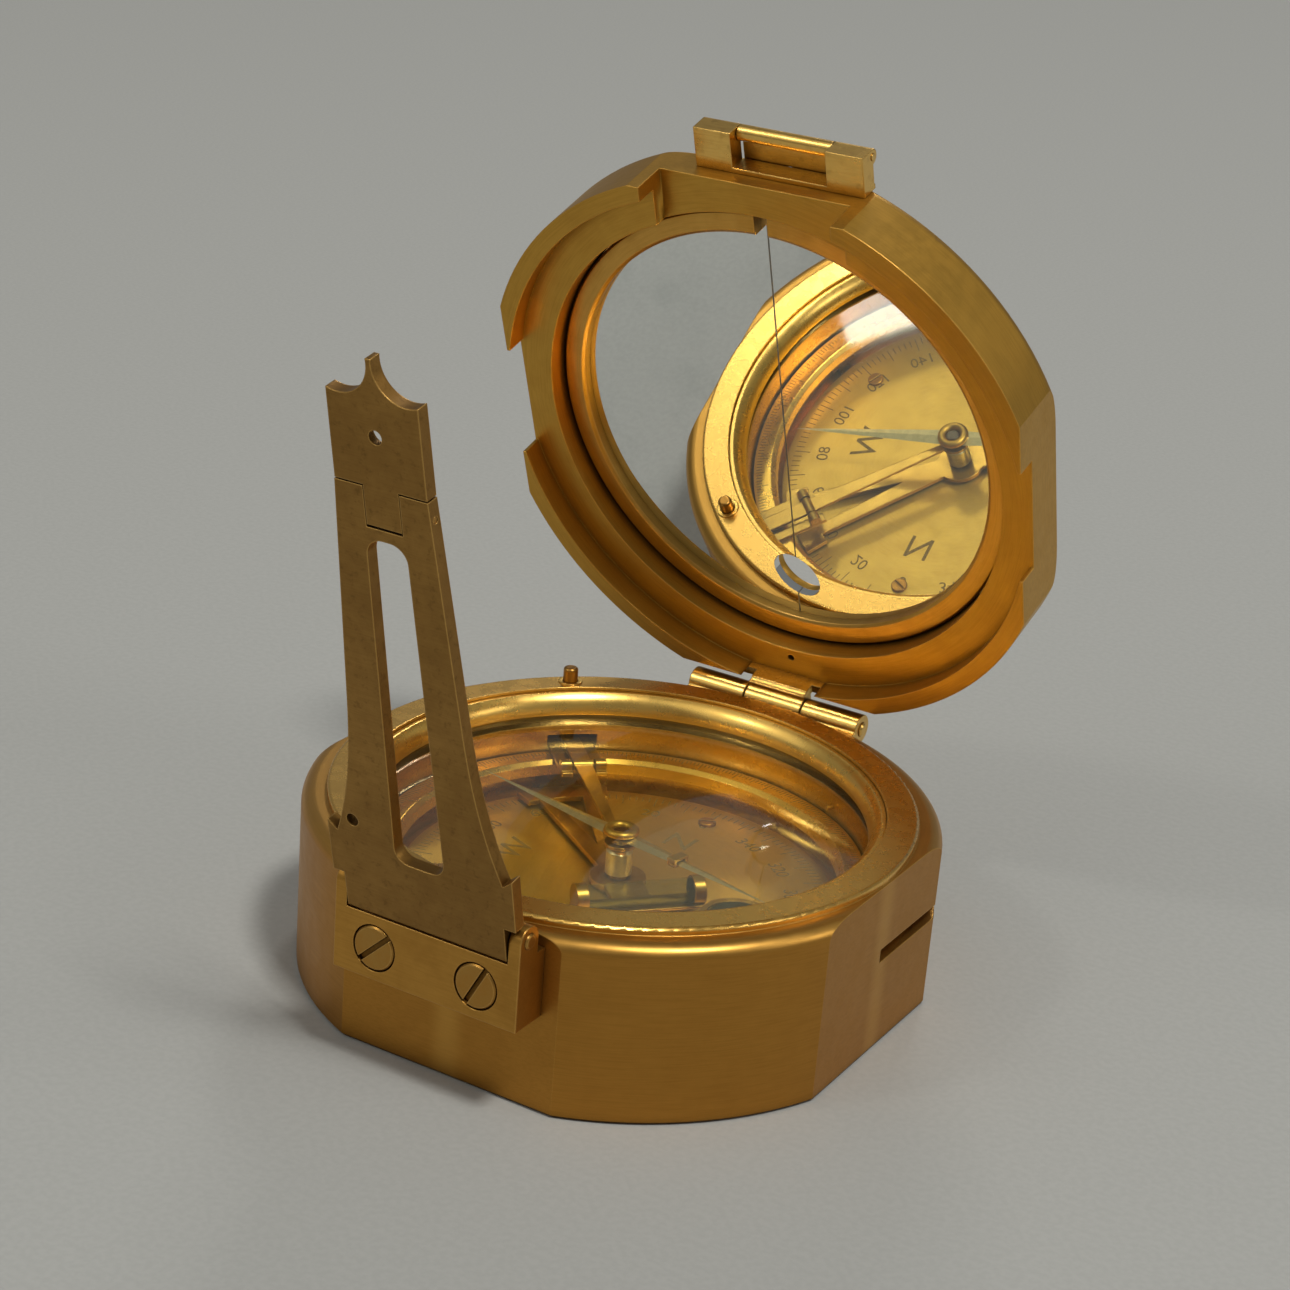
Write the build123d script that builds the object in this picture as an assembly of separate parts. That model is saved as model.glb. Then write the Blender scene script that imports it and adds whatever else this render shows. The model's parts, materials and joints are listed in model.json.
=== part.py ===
from build123d import *
import os
from math import cos, radians, sin, sqrt

# Brass pocket sighting compass: an octagon-sided round case with a glazed needle compass, a lever-worked
# clinometer, a mirror lid on a knuckle hinge and a long folding sight on the opposite side.
# Millimetres. Origin: centre of the case's underside. +Z up, -Y the long sight, +Y the lid hinge.
# Every sub-part is modelled where it stands at rest: lid raised, long sight leaning outwards.

# --- case -----------------------------------------------------------------------------------------
CASE_R = 37.5          # round outside of the case and the lid
FLAT = 34.8            # distance of the four flats from the axis
LEDGE_Z = 21.4         # ledge that the lid's rim closes on
SHOULDER_R = 1.6       # rounded edge between side and ledge
BEZEL_R = 34.6         # raised rim round the glass
BEZEL_Z = 22.3
MOUTH_R = 30.8         # bore that takes the glass and its ring
FLOOR_Z = 5.0          # top of the case's floor
RECESS_R = 18.0        # round recess under the case for the clinometer lever
RECESS_Z = 2.2
GROOVE_Z = (11.4, 13.1)  # side grooves that a tripod clip slides into
GROOVE_DEPTH = 1.6
GROOVE_START_Y = -0.2
CUTTER_R = 12.0        # saw that runs the grooves out

# --- inside, from the floor up ----------------------------------------------------------------------
DIAL_R = 26.0
DIAL_Z = (8.8, 10.0)
DIAL_SEAT_R = 24.8     # bore under the dial plate
TROUGH_R = 28.0        # bore beside the dial plate, under the azimuth ring
RING_R = (26.0, 29.1)
RING_Z = (12.4, 14.3)
RING_BORE_R = 29.4
RING_TEETH = 108
TOOTH_DEPTH = 0.9
TOOTH_R = (26.8, 28.05)  # radial reach of the slots between the teeth, behind the ring's inner lip
TOOTH_GAP_HALF = 0.49
GLASS_Z = (17.7, 19.3)
COVE_R = (28.9, 30.2)  # retaining ring's inside, at the glass and at the top
COVE_Z = 21.9
HUB_Z = (10.5, 11.1)   # clinometer arm
ARM_AZ = 138.6         # azimuth of the clinometer arm at rest
ARM_SPREAD = 7.5       # half angle between its two bars
VIAL_R = 1.5
VIAL_Z = 12.7
VIAL_REACH = 8.0
POST_R = 1.6           # post that stands on the arm and carries the needle's point
POST_Z = (11.6, 14.7)
NEEDLE_AZ = 168.5      # azimuth of the needle's light end
NEEDLE_LEN = 23.2
BLADE_Z = (16.45, 16.8)
BULLSEYE_R = 4.3
BULLSEYE_AT = 18.6
BULLSEYE_AZ = -12.0
SHAFT_GAP = 0.05       # radial clearance of running shafts
INDEX_AZ = 59.0        # zero index let into the wall above the azimuth ring
INDEX_R = 0.3
INDEX_X = (28.5, 31.0)
INDEX_Z = 15.55

# --- needle lift --------------------------------------------------------------------------------------
LIFT_AZ = 134.0
LIFT_R = 32.7          # radius at which the lift pin stands
LIFT_TOP = 24.3
LIFT_TRAVEL = 0.38
FULCRUM_R = 22.2
LEVER_Z = (15.15, 15.55)
BRACKET_Z = (14.4, 14.9)

# --- azimuth adjuster -----------------------------------------------------------------------------------
ADJUST_AZ = 206.0
PINION_TEETH = 7
PINION_PITCH_R = 1.75
PINION_X = (26.9, 27.95)
PINION_Z = RING_Z[0] + TOOTH_DEPTH / 2 - PINION_PITCH_R

# --- lid ------------------------------------------------------------------------------------------------
LID_H = 9.5
LID_OPEN = 70.35       # degrees from closed at rest
HINGE_Y = 37.6
HINGE_Z = 21.03
HINGE_R = 1.9
HINGE_HALF = 12.2
HINGE_MID = 4.1        # half length of the lid's knuckle
SKIRT_R = 35.2         # inside of the lid's rim
RECESS_DEPTH = 3.0     # rim to the lid's floor ring
FLOOR_R = 30.9
MIRROR_RING_R = (27.8, 30.7)
MIRROR_DEPTH = (7.2, 8.4)
MIRROR_RING_TOP = 5.7
SIDE_GAP_HALF = 7.6    # gap in the rim at each side flat
NOTCH_HALF = 12.4      # gap in the rim for the folded long sight
NOTCH_DEPTH = 4.9
WINDOW_Y = 22.0
WINDOW_R = (3.5, 2.6)  # half axes of the oval sighting window
WINDOW_TURN = 35.0

# --- small sight on the lid -------------------------------------------------------------------------------
SMALL_X = 2.3          # it sits a little right of the lid's middle
SMALL_HALF = 10.9
SMALL_GAP = 6.1        # half width of its window
SMALL_Z = (28.3, 30.9)
SMALL_PIVOT = (-38.85, 30.6)
SMALL_R = 0.95
SMALL_LEAF = (0.4, 0.9)  # leaf's faces above its pivot when folded on the closed lid

# --- long sight -------------------------------------------------------------------------------------------
SIGHT_HALF = 11.9      # half width of its bracket
BRACKET_FRONT = -39.7
SIGHT_BLOCK_Z = (11.8, 20.6)
PIVOT = (-38.0, 22.0)
EAR_R = 1.7
EAR_X = 10.4
TILT = 12.5            # degrees outwards at rest
PLATE = (0.5, 2.05)    # plate's faces, outwards from the pivot line
TIP_HINGE = 49.2       # along the plate from the pivot
TIP_JOINT = 2.3        # from the tip's hinge to its shoulders
ARM_END = 2.14         # from the tip's hinge to the arm's own end
TIP_END = 65.2
TONGUE_HALF = 2.1
SCREW_X = 6.6
SCREW_Z = 15.6


def cyl(r, z0, z1, x=0.0, y=0.0):
    return Pos(x, y, z0) * Cylinder(r, z1 - z0, align=(Align.CENTER, Align.CENTER, Align.MIN))


def tube(r_out, r_in, z0, z1, x=0.0, y=0.0):
    return cyl(r_out, z0, z1, x, y) - cyl(r_in, z0 - 1, z1 + 1, x, y)


def box(x0, x1, y0, y1, z0, z1):
    return Pos((x0 + x1) / 2, (y0 + y1) / 2, (z0 + z1) / 2) * Box(x1 - x0, y1 - y0, z1 - z0)


def rod_x(r, x0, x1, y, z):
    return Pos(x0, y, z) * Rot(0, 90, 0) * Cylinder(r, x1 - x0, align=(Align.CENTER, Align.CENTER, Align.MIN))


def rod_y(r, y0, y1, x, z):
    return Pos(x, y0, z) * Rot(-90, 0, 0) * Cylinder(r, y1 - y0, align=(Align.CENTER, Align.CENTER, Align.MIN))


def polar(r, azimuth):
    return r * cos(radians(azimuth)), r * sin(radians(azimuth))


def turned(shape, azimuth):
    return Rot(0, 0, azimuth) * shape


def profile_ring(points):
    """Solid of revolution about Z from an outline of (radius, z) points."""
    return revolve(Plane.XZ * make_face(Polyline(*points, close=True)), Axis.Z)


def flats(z0, z1):
    return box(-FLAT, FLAT, -FLAT, FLAT, z0, z1)


def screw(r_head, head_h, r_shank, length, slot_turn, slot=0.55):
    """Slotted screw along +Z: the underside of its head on z=0, its shank below."""
    body = cyl(r_head, 0, head_h) + cyl(r_shank, -length, 0)
    body = chamfer(body.faces().sort_by(Axis.Z)[-1].edges(), min(0.2, head_h / 4))
    return body - turned(box(-r_head, r_head, -slot / 2, slot / 2, head_h * 0.5, head_h + 1), slot_turn)


# --- case and what is fixed in it ---------------------------------------------------------------------------

def side_groove(side):
    """Clip groove: starts with the round of the saw and runs out at the back."""
    depth_x = FLAT - GROOVE_DEPTH
    half_chord = sqrt(CUTTER_R ** 2 - (CUTTER_R - GROOVE_DEPTH) ** 2)
    centre_y = GROOVE_START_Y + half_chord
    cutter = cyl(CUTTER_R, GROOVE_Z[0], GROOVE_Z[1], depth_x + CUTTER_R, centre_y)
    cutter += box(depth_x, depth_x + CUTTER_R, centre_y, CASE_R, GROOVE_Z[0], GROOVE_Z[1])
    return cutter if side > 0 else mirror(cutter, Plane.YZ)


def case_body():
    body = cyl(CASE_R, 0, LEDGE_Z)
    body = fillet(body.faces().sort_by(Axis.Z)[-1].edges(), SHOULDER_R)
    body &= flats(0, LEDGE_Z)
    body = chamfer(body.faces().sort_by(Axis.Z)[0].edges(), 0.4)
    rim = cyl(BEZEL_R, LEDGE_Z - 1, BEZEL_Z)
    body += fillet(rim.faces().sort_by(Axis.Z)[-1].edges(), 0.35)
    body -= cyl(RECESS_R, -1, RECESS_Z)
    body -= cyl(DIAL_SEAT_R, FLOOR_Z, DIAL_Z[0] + 1)
    body -= cyl(TROUGH_R, DIAL_Z[0], RING_Z[0])
    body -= cyl(RING_BORE_R, RING_Z[0] - 0.05, GLASS_Z[0] + 1)
    body -= cyl(MOUTH_R, GLASS_Z[0], BEZEL_Z + 1)
    body -= cyl(3.2, -1, FLOOR_Z + 1)
    for side in (1, -1):
        body -= side_groove(side)
    # pocket in the wall for the lift lever, and the stepped bore above it for the lift pin and its spring
    pocket = box(28.4, LIFT_R + 1.6, -3.2, 3.2, BRACKET_Z[0], 16.4)
    bore = cyl(1.0, 16, 18, LIFT_R) + cyl(1.5, 17.2, BEZEL_Z + 1, LIFT_R)
    body -= turned(pocket + bore, LIFT_AZ)
    # radial bore and head seat for the azimuth adjusting screw
    radial = rod_x(0.85, PINION_X[0], CASE_R + 1, 0, PINION_Z) + rod_x(2.1, CASE_R - 1.5, CASE_R + 1, 0, PINION_Z)
    body -= turned(radial, ADJUST_AZ)
    # tapped holes for the bracket, hinge leaf and dial screws
    for x in (-SCREW_X, SCREW_X):
        body -= rod_y(1.1, -FLAT - 1, -FLAT + 4.0, x, SCREW_Z)
    for x in (-8.0, 8.0):
        body -= rod_y(0.8, FLAT - 3.2, FLAT + 1, x, 14.0)
    return body - turned(rod_x(INDEX_R, RING_BORE_R - 1, INDEX_X[1], 0, INDEX_Z), INDEX_AZ)


def dial_plate():
    plate = cyl(DIAL_R, DIAL_Z[0], DIAL_Z[1]) - cyl(2.35, 0, 20)
    for azimuth in (90, 210, 330):
        x, y = polar(DIAL_R - 4.6, azimuth)
        plate -= cyl(0.65, 0, 20, x, y)
    x, y = polar(BULLSEYE_AT, BULLSEYE_AZ)
    return plate - cyl(BULLSEYE_R - 0.8, DIAL_Z[1] - 0.5, 20, x, y)


def dial_standoffs():
    """Three pillars between the case's floor and the dial plate."""
    pillars = []
    for azimuth in (90, 210, 330):
        x, y = polar(DIAL_R - 4.6, azimuth)
        pillars.append(tube(1.6, 0.55, FLOOR_Z, DIAL_Z[0], x, y))
    return Compound(children=pillars)


def dial_screws():
    screws = []
    for azimuth in (90, 210, 330):
        x, y = polar(DIAL_R - 4.6, azimuth)
        screws.append(Pos(x, y, DIAL_Z[1]) * screw(1.1, 0.4, 0.5, 3.0, azimuth * 2.3, 0.3))
    return Compound(children=screws)


def glass_crystal():
    glass = cyl(MOUTH_R - 0.1, GLASS_Z[0], GLASS_Z[1])
    return chamfer(glass.edges(), 0.15)


def glass_retaining_ring():
    """Coved ring that holds the glass down."""
    outer = MOUTH_R - 0.05
    with BuildSketch(Plane.XZ) as outline:
        with BuildLine():
            Polyline((COVE_R[0], GLASS_Z[1]), (outer, GLASS_Z[1]), (outer, COVE_Z), (COVE_R[1], COVE_Z))
            l1 = Line((COVE_R[0], GLASS_Z[1]), (COVE_R[0], GLASS_Z[1] + 0.5))
            ThreePointArc(l1 @ 1, (COVE_R[0] + 0.35, GLASS_Z[1] + 1.6), (COVE_R[1], COVE_Z))
        make_face()
    return revolve(outline.sketch, Axis.Z)


def bullseye_housing():
    x, y = polar(BULLSEYE_AT, BULLSEYE_AZ)
    cup = cyl(BULLSEYE_R, DIAL_Z[1], 13.4, x, y) - cyl(BULLSEYE_R - 0.8, DIAL_Z[1] + 0.6, 20, x, y)
    return cup + cyl(BULLSEYE_R - 0.85, DIAL_Z[1] - 0.45, DIAL_Z[1] + 0.6, x, y)


def bullseye_glass():
    x, y = polar(BULLSEYE_AT, BULLSEYE_AZ)
    r = BULLSEYE_R - 0.85
    glass = cyl(r, DIAL_Z[1] + 0.6, 13.6, x, y)
    return fillet(glass.faces().sort_by(Axis.Z)[-1].edges(), 0.5)


def index_pin():
    """Zero index beside the azimuth ring."""
    return turned(rod_x(INDEX_R, INDEX_X[0], INDEX_X[1], 0, INDEX_Z), INDEX_AZ)


def spindle_bush():
    return tube(3.2, 2.0 + SHAFT_GAP, RECESS_Z, FLOOR_Z + 2.6)


# --- azimuth ring and its adjuster ---------------------------------------------------------------------------

def azimuth_ring():
    """Graduated ring with a bevelled inner edge and radial teeth cut in its underside."""
    ring = profile_ring([
        (RING_R[0], RING_Z[0]), (RING_R[1], RING_Z[0]), (RING_R[1], RING_Z[1]),
        (RING_R[0] + 0.6, RING_Z[1]), (RING_R[0], RING_Z[1] - 0.5)])
    gap = box(*TOOTH_R, -TOOTH_GAP_HALF, TOOTH_GAP_HALF, RING_Z[0] - 1, RING_Z[0] + TOOTH_DEPTH)
    slots = [turned(gap, i * 360.0 / RING_TEETH) for i in range(RING_TEETH)]
    phase = ADJUST_AZ % (360.0 / RING_TEETH)
    return ring - turned(Compound(children=slots), phase)


def adjusting_pinion():
    """Small gear that drives the teeth under the azimuth ring: one tooth points up at rest."""
    length = PINION_X[1] - PINION_X[0]
    gear = Cylinder(1.25, length)
    tooth = make_face(Polyline((1.1, -0.38), (PINION_PITCH_R, -0.26), (2.15, -0.14),
                               (2.15, 0.14), (PINION_PITCH_R, 0.26), (1.1, 0.38), close=True))
    for i in range(PINION_TEETH):
        gear += Rot(0, 0, i * 360.0 / PINION_TEETH) * Pos(0, 0, -length / 2) * extrude(tooth, length)
    gear -= Cylinder(0.8, length + 1)
    gear = Rot(0, -90, 0) * gear
    return turned(Pos((PINION_X[0] + PINION_X[1]) / 2, 0, PINION_Z) * gear, ADJUST_AZ)


def adjusting_screw():
    shank = rod_x(0.8, PINION_X[0], CASE_R - 1.4, 0, PINION_Z)
    head = rod_x(2.0, CASE_R - 1.45, CASE_R + 0.1, 0, PINION_Z)
    head = chamfer(head.faces().sort_by(Axis.X)[-1].edges(), 0.25)
    slot = box(CASE_R - 0.6, CASE_R + 1, -0.25, 0.25, PINION_Z - 3, PINION_Z + 3)
    return turned(shank + head - slot, ADJUST_AZ)


# --- clinometer ----------------------------------------------------------------------------------------------

def clinometer_spindle():
    shaft = cyl(2.0, 2.02, DIAL_Z[1] + 0.1) + cyl(3.2, DIAL_Z[1] + 0.1, HUB_Z[0])
    shaft += cyl(1.3, HUB_Z[0], POST_Z[0])
    shaft -= cyl(0.7, 0, 5.0)
    return shaft - cyl(0.45, 9.0, 20)


def clinometer_arm():
    """Hub with two bars that spread to a vernier plate, and a short tail that carries the tube level."""
    hub = cyl(3.4, HUB_Z[0], HUB_Z[1])
    arm = hub
    for side in (-1, 1):
        bar = make_face(Polyline((0, -1.25), (23.2, -0.85), (23.2, 0.85), (0, 1.25), close=True))
        arm += turned(Pos(0, 0, HUB_Z[0]) * extrude(bar, HUB_Z[1] - HUB_Z[0]), side * ARM_SPREAD)
    sector = tube(25.2, 22.0, HUB_Z[0], HUB_Z[1])
    wedge = make_face(Polyline((0, 0), (30, -7.2), (30, 7.2), close=True))
    arm += sector & extrude(wedge, 20)
    arm += box(-VIAL_REACH - 2.2, 0, -2.4, 2.4, HUB_Z[0], HUB_Z[1])
    arm -= cyl(1.3, 0, 20)
    return turned(arm, ARM_AZ)


def level_holder():
    """Cradle across the arm's tail with an end cap at each end of the tube level."""
    base = box(-VIAL_REACH - 1.7, -VIAL_REACH + 1.7, -7.8, 7.8, HUB_Z[1], HUB_Z[1] + 0.35)
    cradle = base
    for y0 in (-7.8, 6.4):
        cradle += rod_y(1.75, y0, y0 + 1.4, -VIAL_REACH, VIAL_Z)
        cradle += box(-VIAL_REACH - 1.2, -VIAL_REACH + 1.2, y0, y0 + 1.4, HUB_Z[1], VIAL_Z)
    cradle -= rod_y(VIAL_R + 0.02, -7.4, 7.4, -VIAL_REACH, VIAL_Z)
    return turned(cradle, ARM_AZ)


def level_vial():
    vial = rod_y(VIAL_R, -7.3, 7.3, -VIAL_REACH, VIAL_Z)
    vial -= box(-20, 20, -20, 20, 0, HUB_Z[1] + 0.36)
    return turned(vial, ARM_AZ)


def needle_pivot():
    """Post with a hardened point that the needle's jewel rides on."""
    post = cyl(0.43, 9.2, 15.9) + chamfer(cyl(POST_R, *POST_Z).faces().sort_by(Axis.Z)[-1].edges(), 0.3)
    return post + Pos(0, 0, 15.9) * Cone(0.43, 0.05, 0.9, align=(Align.CENTER, Align.CENTER, Align.MIN))


def clinometer_lever():
    """Finger lever in the recess under the case."""
    bar = make_face(Polyline((0, -2.4), (13.2, -1.7), (13.2, 1.7), (0, 2.4), close=True))
    lever = extrude(bar, 1.1) + cyl(3.6, 0, 1.1) + cyl(2.6, 0, 1.1, 13.6)
    lever = chamfer(lever.faces().sort_by(Axis.Z)[0].edges(), 0.25)
    for i in range(-2, 3):
        lever -= box(11, 17, i * 0.85 - 0.14, i * 0.85 + 0.14, -1, 0.2)
    lever = Pos(0, 0, 0.9) * (lever - cyl(0.75, -1, 3))
    return turned(lever, ARM_AZ - 180)


def lever_screw():
    return Rot(180, 0, 0) * Pos(0, 0, -0.9) * screw(1.7, 0.55, 0.7, 3.6, 25, 0.4)


# --- needle ----------------------------------------------------------------------------------------------------

def needle_blade():
    """Slim diamond blade with a round eye at the centre and a ridge along its back."""
    half = 1.25
    outline = Polyline((NEEDLE_LEN, 0), (1.5, half), (-1.5, half), (-NEEDLE_LEN + 1.0, 0),
                       (-1.5, -half), (1.5, -half), close=True)
    blade = Pos(0, 0, BLADE_Z[0]) * extrude(make_face(outline), BLADE_Z[1] - BLADE_Z[0])
    blade += cyl(1.9, BLADE_Z[0], BLADE_Z[1])
    return turned(blade - cyl(1.0, 0, 20), NEEDLE_AZ)


def needle_cap():
    """Round brass cap with a rolled rim round the jewel."""
    with BuildSketch(Plane.XZ) as outline:
        with BuildLine():
            Polyline((1.0, 17.0), (1.0, BLADE_Z[1]), (2.15, BLADE_Z[1]), (2.15, 17.05))
            ThreePointArc((2.15, 17.05), (1.75, 17.5), (1.0, 17.0))
        make_face()
    return revolve(outline.sketch, Axis.Z)


def needle_jewel():
    jewel = cyl(0.97, BLADE_Z[0] + 0.05, 17.15)
    cup = Pos(0, 0, BLADE_Z[0] + 0.04) * Cone(0.75, 0.07, 0.42, align=(Align.CENTER, Align.CENTER, Align.MIN))
    return fillet(jewel.faces().sort_by(Axis.Z)[-1].edges(), 0.3) - cup


def needle_counterweight():
    """Sliding weight that balances the needle against magnetic dip."""
    weight = box(-9.6, -8.4, -1.15, 1.15, BLADE_Z[0] - 0.3, BLADE_Z[1] + 0.3)
    slot = Pos(0, 0, BLADE_Z[0]) * extrude(
        make_face(Polyline((-NEEDLE_LEN + 1.0, 0), (-1.5, 1.25), (-1.5, -1.25), close=True)), BLADE_Z[1] - BLADE_Z[0])
    return turned(weight - slot, NEEDLE_AZ)


# --- needle lift --------------------------------------------------------------------------------------------------

def lift_bracket():
    """Fork let into the wall: two rails with ears that carry the lever's fulcrum."""
    plate = box(FULCRUM_R - 1.4, 31.4, -2.9, 2.9, BRACKET_Z[0], BRACKET_Z[1])
    plate -= box(FULCRUM_R - 3, 33, -1.5, 1.5, 0, 20)
    for y0 in (-2.9, 1.5):
        plate += rod_y(0.75, y0, y0 + 1.4, FULCRUM_R, (LEVER_Z[0] + LEVER_Z[1]) / 2)
        plate += box(FULCRUM_R - 0.75, FULCRUM_R + 0.75, y0, y0 + 1.4, BRACKET_Z[0], LEVER_Z[0] + 0.2)
    plate -= rod_y(0.3, -4, 4, FULCRUM_R, (LEVER_Z[0] + LEVER_Z[1]) / 2)
    bar = box(FULCRUM_R + 8.0, 31.4, -1.5, 1.5, BRACKET_Z[0], BRACKET_Z[0] + 0.1)
    return turned(plate + bar, LIFT_AZ)


def lift_fulcrum_pin():
    return turned(rod_y(0.3, -2.9, 2.9, FULCRUM_R, (LEVER_Z[0] + LEVER_Z[1]) / 2), LIFT_AZ)


def lift_lever():
    """Thin lever under the needle: its ring comes up to the needle's hub when the lift pin is pressed."""
    mid = (LEVER_Z[0] + LEVER_Z[1]) / 2
    bar = make_face(Polyline((1.6, -0.5), (FULCRUM_R, -1.15), (LIFT_R + 0.9, -1.15),
                             (LIFT_R + 0.9, 1.15), (FULCRUM_R, 1.15), (1.6, 0.5), close=True))
    lever = Pos(0, 0, LEVER_Z[0]) * extrude(bar, LEVER_Z[1] - LEVER_Z[0])
    lever += cyl(1.9, LEVER_Z[0], LEVER_Z[1])
    lever += rod_y(0.65, -1.3, 1.3, FULCRUM_R, mid)
    lever -= cyl(1.1, 0, 20) + rod_y(0.3 + SHAFT_GAP, -4, 4, FULCRUM_R, mid)
    return turned(lever, LIFT_AZ)


def lift_pin():
    """Spring-loaded pin that the closing lid presses."""
    pin = cyl(0.94, LEVER_Z[1] + 0.05, LIFT_TOP, LIFT_R)
    pin = fillet(pin.faces().sort_by(Axis.Z)[-1].edges(), 0.35)
    pin += cyl(1.4, 19.85, 20.4, LIFT_R)
    return turned(pin, LIFT_AZ)


def lift_spring():
    """Coil spring between the wall pocket's floor and the pin's collar."""
    wire, radius, bottom, top = 0.12, 1.2, 17.2, 19.85
    path = Helix(pitch=(top - bottom - 2 * wire) / 5, height=top - bottom - 2 * wire, radius=radius)
    section = Plane(origin=path @ 0, z_dir=path % 0) * Circle(wire)
    coil = sweep(section, path=path, is_frenet=True)
    return turned(Pos(LIFT_R, 0, bottom + wire) * coil, LIFT_AZ)


def lift_pin_bush():
    bush = tube(1.5, 1.0, 20.42, BEZEL_Z + 0.15, LIFT_R)
    return turned(bush, LIFT_AZ)


# --- lid hinge --------------------------------------------------------------------------------------------------

def opened(shape):
    """Turns a shape modelled with the lid closed to the lid's place at rest."""
    return shape.rotate(Axis((0, HINGE_Y, HINGE_Z), (1, 0, 0)), -LID_OPEN)


def hinge_base_leaf():
    leaf = box(-HINGE_HALF, HINGE_HALF, FLAT, FLAT + 1.2, 9.5, HINGE_Z - 2.3)
    for side in (-1, 1):
        x0, x1 = sorted((side * (HINGE_MID + 0.08), side * HINGE_HALF))
        leaf += rod_x(HINGE_R, x0, x1, HINGE_Y, HINGE_Z)
        leaf += box(x0, x1, FLAT, HINGE_Y, HINGE_Z - HINGE_R, HINGE_Z) + box(x0, x1, FLAT, FLAT + 1.2, 15, HINGE_Z)
    leaf -= rod_x(0.9, -20, 20, HINGE_Y, HINGE_Z)
    for x in (-8.0, 8.0):
        leaf -= rod_y(0.85, FLAT - 1, FLAT + 2, x, 14.0)
    return leaf


def hinge_base_screws():
    return Compound(children=[
        Pos(x, FLAT + 1.2, 14.0) * Rot(-90, 0, 0) * screw(1.7, 0.7, 0.75, 4.0, 40 + x * 5, 0.4) for x in (-8.0, 8.0)])


def lid_hinge_pin():
    pin = rod_x(0.9, -HINGE_HALF - 0.35, HINGE_HALF + 0.35, HINGE_Y, HINGE_Z)
    return chamfer(pin.edges(), 0.25)


def hinge_lid_leaf():
    bottom, top = HINGE_Z + 2.3, LEDGE_Z + LID_H - 1.0
    leaf = box(-HINGE_HALF, HINGE_HALF, FLAT, FLAT + 1.2, bottom, top)
    x1 = HINGE_MID - 0.08
    leaf += rod_x(HINGE_R, -x1, x1, HINGE_Y, HINGE_Z)
    leaf += box(-x1, x1, FLAT + 0.25, HINGE_Y, HINGE_Z, HINGE_Z + HINGE_R)
    leaf += box(-x1, x1, FLAT, FLAT + 1.2, HINGE_Z + 0.8, top)
    leaf -= rod_x(0.9 + SHAFT_GAP, -20, 20, HINGE_Y, HINGE_Z)
    for x in (-8.0, 8.0):
        leaf -= rod_y(0.75, FLAT - 1, FLAT + 2, x, 27.0)
    return opened(leaf)


def hinge_lid_screws():
    return opened(Compound(children=[
        Pos(x, FLAT + 1.2, 27.0) * Rot(-90, 0, 0) * screw(1.7, 0.7, 0.65, 3.4, 15 + x * 7, 0.4) for x in (-8.0, 8.0)]))


# --- lid --------------------------------------------------------------------------------------------------------

def depth_z(depth):
    """Height, with the lid closed, of a point so deep in the lid from its rim."""
    return LEDGE_Z + 0.02 + depth


def window(z0, z1, grow=0.0):
    oval = extrude(Ellipse(WINDOW_R[0] + grow, WINDOW_R[1] + grow), z1 - z0)
    return Pos(0, WINDOW_Y, z0) * Rot(0, 0, WINDOW_TURN) * oval


def lid_shell():
    bottom, top = depth_z(0), depth_z(LID_H)
    shell = cyl(CASE_R, bottom, top)
    shell = fillet(shell.faces().sort_by(Axis.Z)[-1].edges(), 1.8)
    shell &= flats(bottom, top)
    shell -= cyl(SKIRT_R, bottom - 1, depth_z(RECESS_DEPTH))
    shell -= cyl(FLOOR_R, bottom - 1, depth_z(MIRROR_DEPTH[1]))
    shell -= box(-NOTCH_HALF, NOTCH_HALF, -CASE_R - 1, -25, bottom - 1, depth_z(NOTCH_DEPTH))
    for side in (-1, 1):
        x0, x1 = sorted((side * 30.0, side * (CASE_R + 1)))
        shell -= box(x0, x1, -SIDE_GAP_HALF, SIDE_GAP_HALF, bottom - 1, depth_z(RECESS_DEPTH))
    shell -= window(bottom, top + 1)
    shell -= cyl(0.45, bottom, depth_z(RECESS_DEPTH) + 1.2, 0.6, 32.2)
    for x in (-8.0, 8.0):
        shell -= rod_y(0.7, FLAT - 3.0, FLAT + 1, x, 27.0)
    return opened(shell)


def mirror_glass():
    glass = cyl(FLOOR_R - 0.1, depth_z(MIRROR_DEPTH[0]), depth_z(MIRROR_DEPTH[1]))
    return opened(glass - window(20, 40))


def mirror_ring():
    """Ring that holds the mirror, gapped where it springs in."""
    z0, z1 = depth_z(MIRROR_RING_TOP), depth_z(MIRROR_DEPTH[0])
    ring = profile_ring([
        (MIRROR_RING_R[0], z0 + 0.3), (MIRROR_RING_R[0] + 0.4, z0), (MIRROR_RING_R[1] - 0.3, z0),
        (MIRROR_RING_R[1], z0 + 0.3), (MIRROR_RING_R[1], z1), (MIRROR_RING_R[0], z1)])
    return opened(ring - box(-0.85, 0.85, -40, -20, 20, 40))


# --- small sight on the lid ---------------------------------------------------------------------------------------

def small_sight_bracket():
    """Two cheeks joined by a thin back, with an open window between them."""
    y, z = SMALL_PIVOT
    body = box(-SMALL_HALF, SMALL_HALF, -FLAT - 0.6, -FLAT, *SMALL_Z)
    for side in (-1, 1):
        x0, x1 = sorted((side * SMALL_GAP, side * SMALL_HALF))
        cheek = box(x0, x1, y, -FLAT, SMALL_Z[0], SMALL_Z[1] - 0.2) + rod_x(SMALL_R, x0, x1, y, z)
        body += cheek + box(x0, x1, y - SMALL_R, y, SMALL_Z[0], z)
    body -= rod_x(0.4, -20, 20, y, z)
    return opened(Pos(SMALL_X, 0, 0) * body)


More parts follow.
